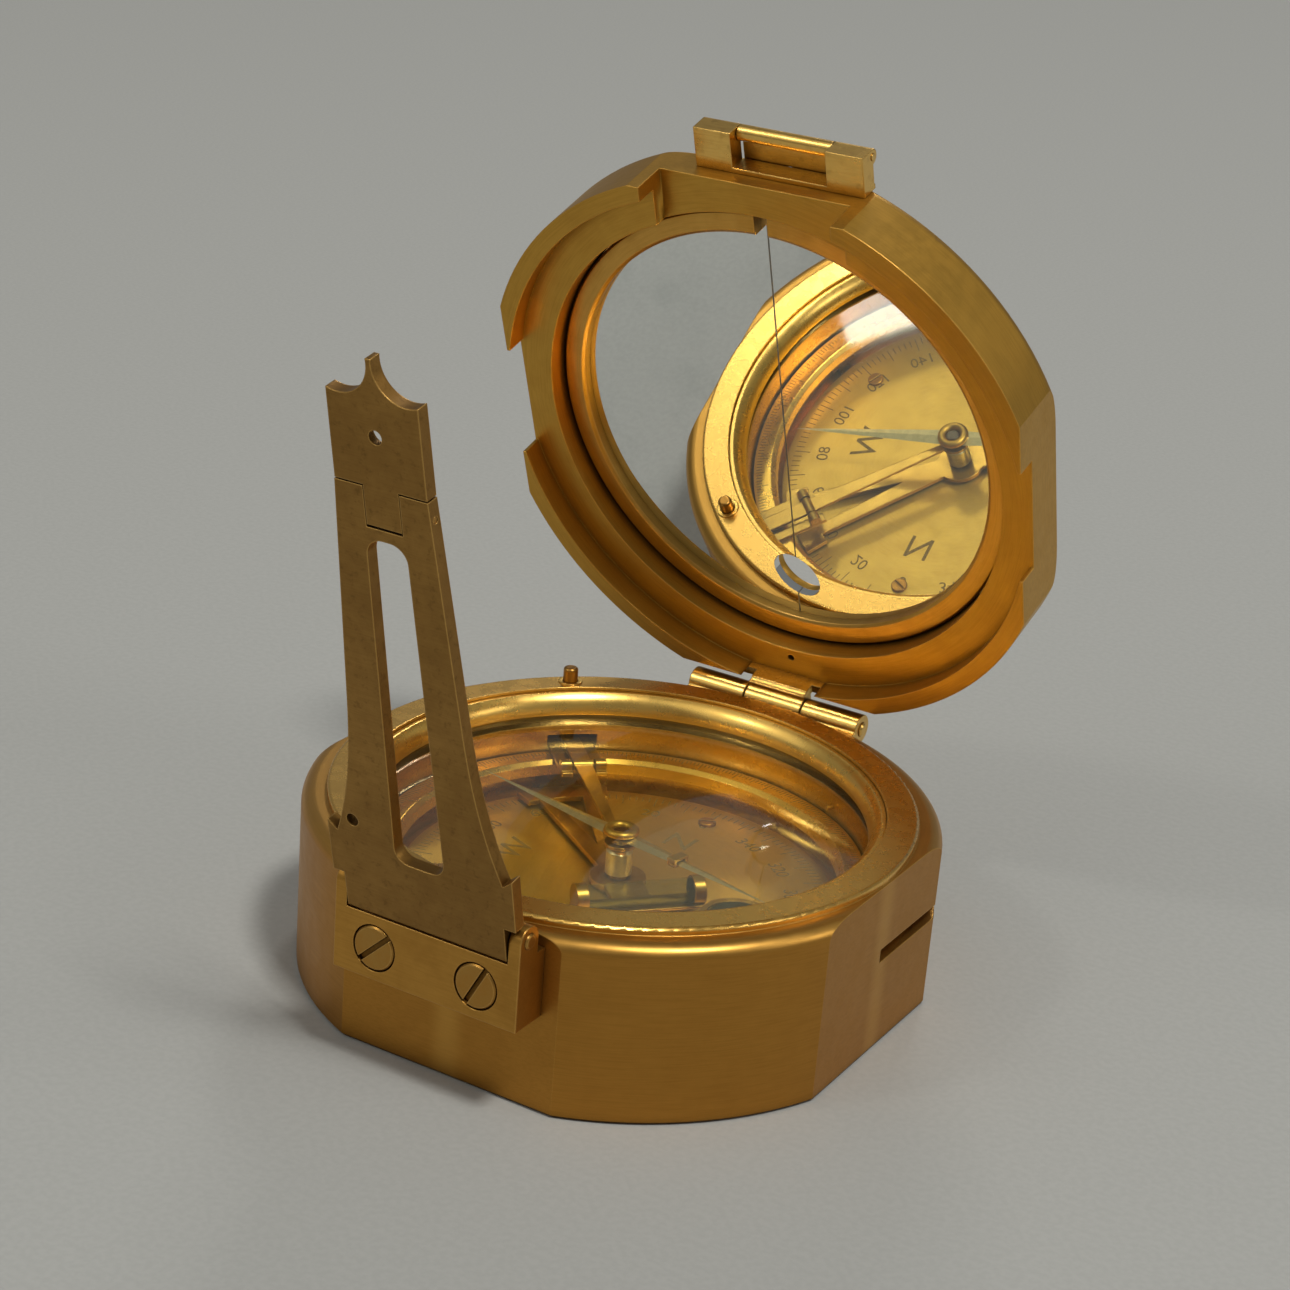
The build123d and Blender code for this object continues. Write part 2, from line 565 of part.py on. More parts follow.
def small_sight_pin():
    pin = rod_x(0.4, -SMALL_HALF - 0.1, SMALL_HALF + 0.1, *SMALL_PIVOT)
    return opened(Pos(SMALL_X, 0, 0) * pin)


def small_sight_leaf():
    """Pointed leaf that folds flat on the lid's outside."""
    y, z = SMALL_PIVOT
    half = SMALL_GAP - 0.08
    low, high = z + SMALL_LEAF[0], z + SMALL_LEAF[1]
    leaf = rod_x(SMALL_R, -half, half, y, z)
    outline = Polyline((-half, y), (half, y), (half, y + 12), (1.2, y + 15.6),
                       (0, y + 18.2), (-1.2, y + 15.6), (-half, y + 12), close=True)
    leaf += Pos(0, 0, low) * extrude(make_face(outline), high - low)
    slot = make_face(SlotOverall(9.0, 1.6).edges())
    leaf -= Pos(0, y + 8.0, low - 1) * Rot(0, 0, 90) * extrude(slot, 4)
    leaf -= rod_x(0.4 + SHAFT_GAP, -20, 20, y, z)
    return opened(Pos(SMALL_X, 0, 0) * leaf)


# --- long sight ---------------------------------------------------------------------------------------------------

def leaned(shape):
    """Turns a shape modelled upright about the long sight's pivot to its lean at rest."""
    return shape.rotate(Axis((0, PIVOT[0], PIVOT[1]), (1, 0, 0)), TILT)


def on_plate(face, near, far):
    """Extrudes a face drawn in (x, along) through the sight's plate, between two outward offsets."""
    plane = Plane(origin=(0, PIVOT[0] - near, PIVOT[1]), x_dir=(1, 0, 0), z_dir=(0, -1, 0))
    return extrude(plane * face, far - near)


def sight_bracket():
    y, z = PIVOT
    block = box(-SIGHT_HALF, SIGHT_HALF, BRACKET_FRONT, -FLAT, *SIGHT_BLOCK_Z)
    for side in (-1, 1):
        x0, x1 = sorted((side * EAR_X, side * SIGHT_HALF))
        block += rod_x(EAR_R, x0, x1, y, z) + box(x0, x1, y - EAR_R, y + EAR_R, SIGHT_BLOCK_Z[1] - 1, z)
    block -= rod_x(3.0, -EAR_X, EAR_X, y, z)
    block -= box(-SIGHT_HALF - 1, SIGHT_HALF + 1, y + EAR_R, -FLAT + 1, SIGHT_BLOCK_Z[1] - 0.6, 30)
    block -= rod_x(0.9, -20, 20, y, z)
    for x in (-SCREW_X, SCREW_X):
        block -= rod_y(2.75, BRACKET_FRONT - 1, BRACKET_FRONT + 1.1, x, SCREW_Z)
        block -= rod_y(1.15, BRACKET_FRONT - 1, -FLAT + 1, x, SCREW_Z)
    return block


def sight_bracket_screws():
    turns = {-SCREW_X: 44.0, SCREW_X: 62.0}
    return Compound(children=[
        Pos(x, BRACKET_FRONT + 1.1, SCREW_Z) * Rot(90, 0, 0) * screw(2.6, 1.2, 1.1, 7.2, turn, 0.6)
        for x, turn in turns.items()])


def sight_pivot_pin():
    pin = rod_x(0.9, -SIGHT_HALF - 0.25, SIGHT_HALF + 0.25, *PIVOT)
    return chamfer(pin.edges(), 0.2)


def half_outline(sign):
    """One side of the long sight's outline, from the foot up to the tip joint, as lines and a spline."""
    points = [(10.25, -1.9), (10.25, 2.4), (11.7, 2.4), (11.7, 8.9), (10.5, 7.9)]
    flare = [(10.5, 7.9), (9.0, 12.6), (7.7, 19.5), (7.05, 27.0)]
    top = (5.5, TIP_HINGE + ARM_END)
    lines = Polyline(*[(sign * x, s) for x, s in points])
    lines += Spline(*[(sign * x, s) for x, s in flare])
    lines += Line((sign * flare[-1][0], flare[-1][1]), (sign * top[0], top[1]))
    return lines


def sight_arm():
    foot = Line((-10.25, -1.9), (10.25, -1.9))
    head = Line((-5.5, TIP_HINGE + ARM_END), (5.5, TIP_HINGE + ARM_END))
    plate = make_face(foot + half_outline(1) + head + half_outline(-1))
    arm = on_plate(plate, *PLATE)
    arm += rod_x(EAR_R, -10.25, 10.25, *PIVOT)
    slot = make_face(Polyline((-3.15, 6.3), (3.15, 6.3), (2.4, 45.6), (-2.4, 45.6), close=True))
    slot = fillet(slot.vertices().group_by(Axis.Y)[0], 1.7)
    slot = fillet(slot.vertices().group_by(Axis.Y)[-1], 2.0)
    arm -= on_plate(slot, PLATE[0] - 1, PLATE[1] + 1)
    recess = Pos(0, TIP_HINGE) * Rectangle(2 * TONGUE_HALF + 0.12, 2 * TIP_JOINT + 0.1)
    arm -= on_plate(recess, PLATE[0] - 1, PLATE[1] + 1)
    arm -= on_plate(Pos(-8.3, 9.9) * Circle(0.75), PLATE[0] - 1, PLATE[1] + 1)
    arm -= rod_x(0.9 + SHAFT_GAP, -20, 20, *PIVOT)
    arm -= rod_x(0.38, -20, 20, PIVOT[0] - sum(PLATE) / 2, PIVOT[1] + TIP_HINGE)
    return leaned(arm)


def tip_hinge_pin():
    return leaned(rod_x(0.38, -5.6, 5.6, PIVOT[0] - sum(PLATE) / 2, PIVOT[1] + TIP_HINGE))


def sight_tip():
    """Hinged tip with a sighting point between two scoops and a peep hole."""
    y_mid, z_mid = PIVOT[0] - sum(PLATE) / 2, PIVOT[1] + TIP_HINGE
    start = TIP_HINGE + TIP_JOINT
    body = make_face(Polyline((-5.45, start), (5.45, start), (5.3, TIP_END), (-5.3, TIP_END), close=True))
    for side in (-1, 1):
        body -= Pos(side * 4.0, TIP_END - 0.5) * Circle(3.72)
        body -= Pos(side * 6.5, TIP_END) * Rectangle(5.0, 7.4)
    body -= Pos(0, 57.0) * Circle(0.75)
    tip = on_plate(body, *PLATE)
    tip -= on_plate(Pos(0, 57.0) * Circle(1.35), PLATE[0] - 1, PLATE[0] + 0.8)
    tongue = on_plate(Pos(0, TIP_HINGE + 0.2) * Rectangle(2 * TONGUE_HALF, 2 * TIP_JOINT + 0.4), *PLATE)
    limit = rod_x(TIP_JOINT - 0.1, -TONGUE_HALF, TONGUE_HALF, y_mid, z_mid)
    limit += box(-TONGUE_HALF, TONGUE_HALF, PIVOT[0] - PLATE[1], PIVOT[0] - PLATE[0], z_mid, z_mid + TIP_JOINT + 1)
    tip += tongue & limit
    tip -= rod_x(0.38 + 0.04, -20, 20, y_mid, z_mid)
    return leaned(tip)


SUBPARTS = {
    "case_body": case_body, "dial_plate": dial_plate, "dial_standoffs": dial_standoffs,
    "dial_screws": dial_screws, "glass_crystal": glass_crystal,
    "glass_retaining_ring": glass_retaining_ring, "bullseye_housing": bullseye_housing,
    "bullseye_glass": bullseye_glass, "index_pin": index_pin, "spindle_bush": spindle_bush,
    "azimuth_ring": azimuth_ring, "adjusting_pinion": adjusting_pinion, "adjusting_screw": adjusting_screw,
    "clinometer_spindle": clinometer_spindle, "clinometer_arm": clinometer_arm,
    "level_holder": level_holder, "level_vial": level_vial, "needle_pivot": needle_pivot,
    "clinometer_lever": clinometer_lever, "lever_screw": lever_screw,
    "needle_blade": needle_blade, "needle_cap": needle_cap, "needle_jewel": needle_jewel,
    "needle_counterweight": needle_counterweight, "lift_bracket": lift_bracket,
    "lift_fulcrum_pin": lift_fulcrum_pin, "lift_lever": lift_lever, "lift_pin": lift_pin,
    "lift_spring": lift_spring, "lift_pin_bush": lift_pin_bush, "hinge_base_leaf": hinge_base_leaf,
    "hinge_base_screws": hinge_base_screws, "lid_hinge_pin": lid_hinge_pin,
    "hinge_lid_leaf": hinge_lid_leaf, "hinge_lid_screws": hinge_lid_screws, "lid_shell": lid_shell,
    "mirror_glass": mirror_glass, "mirror_ring": mirror_ring, "small_sight_bracket": small_sight_bracket,
    "small_sight_pin": small_sight_pin, "small_sight_leaf": small_sight_leaf,
    "sight_bracket": sight_bracket, "sight_bracket_screws": sight_bracket_screws,
    "sight_pivot_pin": sight_pivot_pin, "sight_arm": sight_arm, "tip_hinge_pin": tip_hinge_pin,
    "sight_tip": sight_tip,
}

os.makedirs("parts", exist_ok=True)
for node, make in SUBPARTS.items():
    export_step(make(), f"parts/{node}.step")
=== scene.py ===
"""Looks of the brass sighting compass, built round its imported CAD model.

The CAD nodes keep their shape and get their finishes here. A few pieces are made anew: the lid, the
sights and the hinge leaves with softened edges, the ridged needle blade, and the engraving of the dial
and the azimuth ring.
"""

import json
import logging
from dataclasses import dataclass, field
from enum import Enum
from math import atan2, cos, hypot, radians, sin

import bmesh
import bpy
from mathutils import Matrix, Vector

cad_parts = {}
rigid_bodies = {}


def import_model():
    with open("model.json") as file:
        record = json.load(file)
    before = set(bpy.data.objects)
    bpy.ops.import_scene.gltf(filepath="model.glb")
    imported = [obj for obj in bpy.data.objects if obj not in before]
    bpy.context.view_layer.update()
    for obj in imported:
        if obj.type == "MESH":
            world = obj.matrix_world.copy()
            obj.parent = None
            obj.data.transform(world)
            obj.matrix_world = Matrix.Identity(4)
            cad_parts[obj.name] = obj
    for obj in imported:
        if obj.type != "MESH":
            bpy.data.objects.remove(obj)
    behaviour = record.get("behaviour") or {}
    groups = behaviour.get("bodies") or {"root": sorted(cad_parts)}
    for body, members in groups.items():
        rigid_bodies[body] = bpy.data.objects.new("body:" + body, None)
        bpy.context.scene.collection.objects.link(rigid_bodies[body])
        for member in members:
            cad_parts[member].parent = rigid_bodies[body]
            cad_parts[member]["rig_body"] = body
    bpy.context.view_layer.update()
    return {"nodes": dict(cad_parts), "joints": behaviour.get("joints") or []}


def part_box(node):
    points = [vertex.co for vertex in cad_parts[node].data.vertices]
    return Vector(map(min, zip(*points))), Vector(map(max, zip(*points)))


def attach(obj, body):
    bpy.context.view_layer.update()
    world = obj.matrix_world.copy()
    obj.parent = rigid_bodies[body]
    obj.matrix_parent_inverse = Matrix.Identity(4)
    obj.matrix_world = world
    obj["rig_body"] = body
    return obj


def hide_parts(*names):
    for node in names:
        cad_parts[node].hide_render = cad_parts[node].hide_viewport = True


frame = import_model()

MM = 0.001
LOG = logging.getLogger("sighting_compass")
JOINTS = {joint["name"]: joint for joint in frame["joints"]}


# --- node trees -------------------------------------------------------------------------------------------

class Graph:
    """A material's node tree, built with short calls."""

    def __init__(self, name: str) -> None:
        """Starts an empty material of that name."""
        self.material = bpy.data.materials.new(name)
        self.material.use_nodes = True
        self.tree = self.material.node_tree
        self.tree.nodes.clear()

    def add(self, kind: str, settings: dict | None = None, **inputs: object) -> bpy.types.Node:
        """Adds a node.

        Args:
            kind: the node's type, without its ShaderNode prefix.
            settings: properties of the node itself.
            **inputs: a value or an output socket for each input, with _ for a space in its name.

        Returns:
            The new node.
        """
        node = self.tree.nodes.new("ShaderNode" + kind)
        for key, value in (settings or {}).items():
            setattr(node, key, value)
        for key, value in inputs.items():
            self.feed(node.inputs[key.replace("_", " ")], value)
        return node

    def feed(self, socket: bpy.types.NodeSocket, value: object) -> None:
        """Links an output to a socket, or sets the socket's own value."""
        if isinstance(value, bpy.types.NodeSocket):
            self.tree.links.new(value, socket)
        else:
            socket.default_value = value

    def math(self, operation: str, first: object, second: object = 0.0,
             clamp: bool = False) -> bpy.types.NodeSocket:
        """Gives the result of one arithmetic step."""
        node = self.add("Math", {"operation": operation, "use_clamp": clamp})
        self.feed(node.inputs[0], first)
        self.feed(node.inputs[1], second)
        return node.outputs[0]

    def between(self, value: object, low: float, high: float, to_low: float = 0.0,
                to_high: float = 1.0) -> bpy.types.NodeSocket:
        """Gives value moved smoothly from one range to another and held within it."""
        node = self.add("MapRange", {"interpolation_type": "SMOOTHSTEP"}, Value=value)
        ends = {"From Min": low, "From Max": high, "To Min": to_low, "To Max": to_high}
        for name, number in ends.items():
            node.inputs[name].default_value = number
        return node.outputs["Result"]

    def blend(self, factor: object, first: object, second: object) -> bpy.types.NodeSocket:
        """Gives a mix of two colours."""
        node = self.add("Mix", {"data_type": "RGBA"})
        self.feed(node.inputs[0], factor)
        for socket, value in ((node.inputs[6], first), (node.inputs[7], second)):
            self.feed(socket, (*value, 1.0) if isinstance(value, tuple) and len(value) == 3 else value)
        return node.outputs[2]

    def noise(self, vector: object, scale: float, detail: float = 3.0,
              roughness: float = 0.5) -> bpy.types.NodeSocket:
        """Gives fractal noise, about 0 to 1."""
        node = self.add("TexNoise", Vector=vector, Scale=scale, Detail=detail, Roughness=roughness)
        return node.outputs["Fac"]

    def finish(self, surface: bpy.types.NodeSocket) -> bpy.types.Material:
        """Connects the surface and gives the material."""
        self.feed(self.add("OutputMaterial").inputs["Surface"], surface)
        return self.material


@dataclass(frozen=True)
class Place:
    """Where a finish's pattern is centred: the turn that brings the part back upright on the dial's axis."""

    joint: str | None = None
    degrees_back: float = 0.0

    def matrix(self) -> Matrix:
        """Gives the matrix from the rest pose to the upright one."""
        if self.joint is None:
            return Matrix.Identity(4)
        pivot = Vector(JOINTS[self.joint]["pos_m"])
        turn = Matrix.Rotation(radians(self.degrees_back), 4, "X")
        return Matrix.Translation(pivot) @ turn @ Matrix.Translation(-pivot)

    def coordinates(self, graph: Graph) -> bpy.types.NodeSocket:
        """Gives the object's coordinates, brought upright."""
        own = graph.add("TexCoord").outputs["Object"]
        if self.joint is None:
            return own
        matrix = self.matrix()
        return graph.add("Mapping", {"vector_type": "POINT"}, Vector=own, Location=matrix.translation,
                         Rotation=matrix.to_euler()).outputs[0]


LID_SHUT = JOINTS["lid_hinge"]["range_deg"][0]
SIGHT_LEAN = -JOINTS["long_sight_hinge"]["range_deg"][0] - 90.0
ON_CASE = Place()
ON_LID = Place("lid_hinge", -LID_SHUT)
ON_SIGHT = Place("long_sight_hinge", -SIGHT_LEAN)


# --- finishes ---------------------------------------------------------------------------------------------

# How fine each pattern is, as the scale of its noise
CLOUD_SCALE = 55.0
SPECK_SCALE = 420.0
SPOT_SCALE = 900.0
CAST_SCALE = 2600.0
TOOL_SCALE = 5200.0
STROKE_STRETCH = 0.06
RING_STRETCH = 0.0012

CORNER_REACH = 2.2 * MM   # how far from a corner the painted shade reaches
EDGE_ROUND = 0.22 * MM    # rounding that an edge shows in the light
TOOL_DEPTH = 0.012 * MM
DENT_DEPTH = 0.05 * MM
RIM_BLUR = 0.3 * MM       # how gradually bright metal turns dull past the glass


def darker(colour: tuple[float, float, float], share: float) -> tuple[float, ...]:
    """Gives a colour with each part multiplied by share."""
    return tuple(share * part for part in colour)


class Grain(Enum):
    """Which way a metal surface was worked."""

    SPUN = "rings round the axis, from the lathe"
    DRAWN = "strokes across the part, from the emery stick"
    PLAIN = "no direction"


@dataclass(frozen=True)
class Brass:
    """Brass with its tarnish, painted shade and grime in its corners, its bright worn edges and, where set,
    a painted highlight on faces that look up.
    """

    name: str
    colour: tuple[float, float, float] = (0.80, 0.41, 0.085)
    tarnish: tuple[float, float, float] = (0.46, 0.20, 0.03)
    # the bright colour of worn edges and of metal under the glass, also used for the painted highlight on
    # faces that look up
    edge: tuple[float, float, float] = (0.95, 0.58, 0.18)
    tarnish_share: float = 0.45
    stain_depth: float = 0.55
    roughness: float = 0.34
    grain: Grain = Grain.PLAIN
    grain_depth: float = 0.35
    # painted shade: how strongly ambient occlusion darkens the colour in corners and recesses; the same mask
    # also roughens them a little as grime
    dirt: float = 0.7
    mottle: float = 0.0
    bright_within: float = 0.0
    # painted highlight: how much faces that look up are lightened towards the bright colour
    bright_above: float = 0.0
    place: Place = ON_CASE

    def reach(self, graph: Graph, at: bpy.types.NodeSocket) -> bpy.types.NodeSocket:
        """Gives the distance from the dial's axis."""
        x, y, _ = graph.add("SeparateXYZ", Vector=at).outputs
        squares = graph.math("ADD", graph.math("MULTIPLY", x, x), graph.math("MULTIPLY", y, y))
        return graph.math("SQRT", squares)

    def worked(self, graph: Graph, at: bpy.types.NodeSocket) -> bpy.types.NodeSocket:
        """Gives the fine tool marks as a height of about 0 to 1."""
        if self.grain is Grain.PLAIN:
            return graph.noise(at, CAST_SCALE)
        x, y, z = graph.add("SeparateXYZ", Vector=at).outputs
        if self.grain is Grain.DRAWN:
            lines = graph.add("CombineXYZ", X=graph.math("MULTIPLY", x, STROKE_STRETCH), Y=y, Z=z)
        else:
            round_way = graph.math("MULTIPLY", graph.math("ARCTAN2", y, x), RING_STRETCH)
            lines = graph.add("CombineXYZ", X=self.reach(graph, at), Y=round_way, Z=z)
        return graph.noise(lines.outputs[0], TOOL_SCALE, 2.0, 0.65)

    def kept_bright(self, graph: Graph, at: bpy.types.NodeSocket) -> bpy.types.NodeSocket:
        """Gives 1 where metal is shut away under the glass and 0 where it is dull; where set, faces that
        look up also get a painted highlight of up to that share.
        """
        rim = self.bright_within
        inside = graph.between(self.reach(graph, at), rim, rim + RIM_BLUR, 1.0, 0.0)
        if not self.bright_above:
            return inside
        # painted highlight on faces that look up, stronger the more they face up
        up = graph.add("SeparateXYZ", Vector=graph.add("NewGeometry").outputs["Normal"]).outputs[2]
        lit_from_above = graph.between(up, 0.15, 0.75, 0.0, self.bright_above)
        return graph.math("MAXIMUM", inside, lit_from_above)

    def material(self) -> bpy.types.Material:
        """Builds the material."""
        graph = Graph(self.name)
        at = self.place.coordinates(graph)
        marks = self.worked(graph, at)
        broad = graph.noise(at, CLOUD_SCALE, 4.0, 0.6)
        fine = graph.noise(at, SPECK_SCALE, 5.0, 0.65)
        stain = graph.math("ADD", graph.math("MULTIPLY", broad, 0.65), graph.math("MULTIPLY", fine, 0.35))
        middle = 0.76 - 0.5 * self.tarnish_share
        share = graph.between(stain, middle - 0.16, middle + 0.16, 0.0, self.stain_depth)
        colour = graph.blend(share, self.colour, self.tarnish)
        streak = graph.between(marks, 0.35, 0.75, 0.0, 0.28)
        colour = graph.blend(streak, colour, self.tarnish)
        if self.mottle:
            spots = graph.between(graph.noise(at, SPOT_SCALE, 4.0, 0.7), 0.52, 0.70, 0.0, self.mottle)
            colour = graph.blend(spots, colour, darker(self.tarnish, 0.55))
        bright_and_top_lit = 0.0
        if self.bright_within:
            bright_and_top_lit = self.kept_bright(graph, at)
            # bright colour under the glass, and on faces that look up a painted highlight
            colour = graph.blend(graph.math("MULTIPLY", bright_and_top_lit, 0.85), colour, self.edge)
        corner = graph.add("AmbientOcclusion", {"samples": 6}, Distance=CORNER_REACH).outputs["AO"]
        # painted shade: ambient occlusion darkens the colour toward a deep tarnish in corners and recesses,
        # and the same mask roughens them as grime
        shade_and_grime_mask = graph.between(corner, 0.25, 0.85, self.dirt, 0.0)
        colour = graph.blend(shade_and_grime_mask, colour, darker(self.tarnish, 0.25))
        rounded = graph.add("Bevel", {"samples": 6}, Radius=EDGE_ROUND)
        flat = graph.add("NewGeometry").outputs["Normal"]
        turn = graph.add("VectorMath", {"operation": "DOT_PRODUCT"})
        graph.feed(turn.inputs[0], rounded.outputs[0])
        graph.feed(turn.inputs[1], flat)
        worn = graph.math("MULTIPLY", graph.between(turn.outputs["Value"], 0.93, 0.995, 0.55, 0.0),
                          graph.between(corner, 0.6, 0.95))
        colour = graph.blend(worn, colour, self.edge)
        rough = graph.between(fine, 0.3, 0.7, self.roughness - 0.02, self.roughness + 0.04)
        rough = graph.math("ADD", rough, graph.math("MULTIPLY", shade_and_grime_mask, 0.25), clamp=True)
        rough = graph.math("SUBTRACT", rough, graph.math("MULTIPLY", bright_and_top_lit, 0.14), clamp=True)
        bump = graph.add("Bump", Strength=self.grain_depth, Distance=TOOL_DEPTH, Height=marks,
                         Normal=rounded.outputs[0])
        dents = graph.add("Bump", Strength=0.07, Distance=DENT_DEPTH, Height=broad, Normal=bump.outputs[0])
        shader = graph.add("BsdfPrincipled", Base_Color=colour, Metallic=1.0, Roughness=rough,
                           Normal=dents.outputs[0])
        return graph.finish(shader.outputs[0])


@dataclass(frozen=True)
class Steel:
    """Bright or darkened steel."""

    name: str
    colour: tuple[float, float, float]
    roughness: float
    haze_scale: float = 700.0
    scratch_scale: float = 3200.0
    scratch_depth: float = 0.01 * MM

    def material(self) -> bpy.types.Material:
        """Builds the material."""
        graph = Graph(self.name)
        at = graph.add("TexCoord").outputs["Object"]
        haze = graph.noise(at, self.haze_scale, 4.0, 0.6)
        colour = graph.blend(graph.between(haze, 0.35, 0.75), self.colour, darker(self.colour, 0.72))
        rough = graph.between(haze, 0.3, 0.7, self.roughness, self.roughness + 0.14)
        scratches = graph.noise(at, self.scratch_scale, 2.0)
        bump = graph.add("Bump", Strength=0.2, Distance=self.scratch_depth, Height=scratches)
        shader = graph.add("BsdfPrincipled", Base_Color=colour, Metallic=1.0, Roughness=rough,
                           Normal=bump.outputs[0])
        return graph.finish(shader.outputs[0])


@dataclass(frozen=True)
class Clear:
    """Flat or domed glass that is seen straight through, with its reflections and a film of dust."""

    name: str
    tint: tuple[float, float, float] = (0.985, 0.975, 0.85)
    dust: float = 0.025
    least: float = 0.04
    film_scale: float = 160.0
    film_colour: tuple[float, float, float] = (0.55, 0.50, 0.32)

    @staticmethod
    def mixed(graph: Graph, factor: bpy.types.NodeSocket, first: bpy.types.Node,
              second: bpy.types.Node) -> bpy.types.Node:
        """Gives a mix of two shaders."""
        mix = graph.add("MixShader")
        graph.feed(mix.inputs[0], factor)
        graph.feed(mix.inputs[1], first.outputs[0])
        graph.feed(mix.inputs[2], second.outputs[0])
        return mix

    def material(self) -> bpy.types.Material:
        """Builds the material."""
        graph = Graph(self.name)
        at = graph.add("TexCoord").outputs["Object"]
        facing = graph.add("LayerWeight", Blend=0.5).outputs["Facing"]
        rise = graph.math("MULTIPLY", graph.math("POWER", facing, 5.0), 0.9)
        bounce = graph.math("ADD", rise, self.least, clamp=True)
        gloss = graph.add("BsdfGlossy", Color=(1.0, 1.0, 1.0, 1.0), Roughness=0.03)
        through = graph.add("BsdfTransparent", Color=(*self.tint, 1.0))
        glass = self.mixed(graph, bounce, through, gloss)
        patches = graph.noise(at, self.film_scale, 6.0, 0.7)
        film = graph.add("BsdfDiffuse", Color=(*self.film_colour, 1.0))
        dusty = self.mixed(graph, graph.between(patches, 0.4, 0.8, 0.25 * self.dust, self.dust), glass, film)
        return graph.finish(dusty.outputs[0])


@dataclass(frozen=True)
class Silvered:
    """A looking-glass with a centre line scribed in its silver."""

    name: str
    line_width: float = 0.22 * MM
    haze_scale: float = 120.0
    place: Place = ON_LID

    def material(self) -> bpy.types.Material:
        """Builds the material."""
        graph = Graph(self.name)
        at = self.place.coordinates(graph)
        x = graph.add("SeparateXYZ", Vector=at).outputs[0]
        line = graph.math("LESS_THAN", graph.math("ABSOLUTE", x), self.line_width / 2)
        haze = graph.between(graph.noise(at, self.haze_scale, 5.0, 0.65), 0.45, 0.8)
        colour = graph.blend(haze, (0.84, 0.86, 0.84), (0.74, 0.77, 0.75))
        colour = graph.blend(line, colour, (0.25, 0.25, 0.24))
        rough = graph.math("ADD", graph.math("MULTIPLY", haze, 0.02), graph.math("MULTIPLY", line, 0.5))
        shader = graph.add("BsdfPrincipled", Base_Color=colour, Metallic=1.0, Roughness=rough)
        return graph.finish(shader.outputs[0])


@dataclass(frozen=True)
class Plain:
    """A dark or coloured solid such as engraver's wax or a stone."""

    name: str
    colour: tuple[float, float, float]
    roughness: float
    coat: float = 0.0
    cloud_scale: float = 1500.0

    def material(self) -> bpy.types.Material:
        """Builds the material."""
        graph = Graph(self.name)
        at = graph.add("TexCoord").outputs["Object"]
        cloud = graph.between(graph.noise(at, self.cloud_scale, 4.0, 0.6), 0.3, 0.75)
        colour = graph.blend(cloud, self.colour, darker(self.colour, 0.6))
        rough = graph.between(cloud, 0.0, 1.0, self.roughness, min(1.0, self.roughness + 0.15))
        shader = graph.add("BsdfPrincipled", Base_Color=colour, Roughness=rough)
        shader.inputs["Coat Weight"].default_value = self.coat
        return graph.finish(shader.outputs[0])


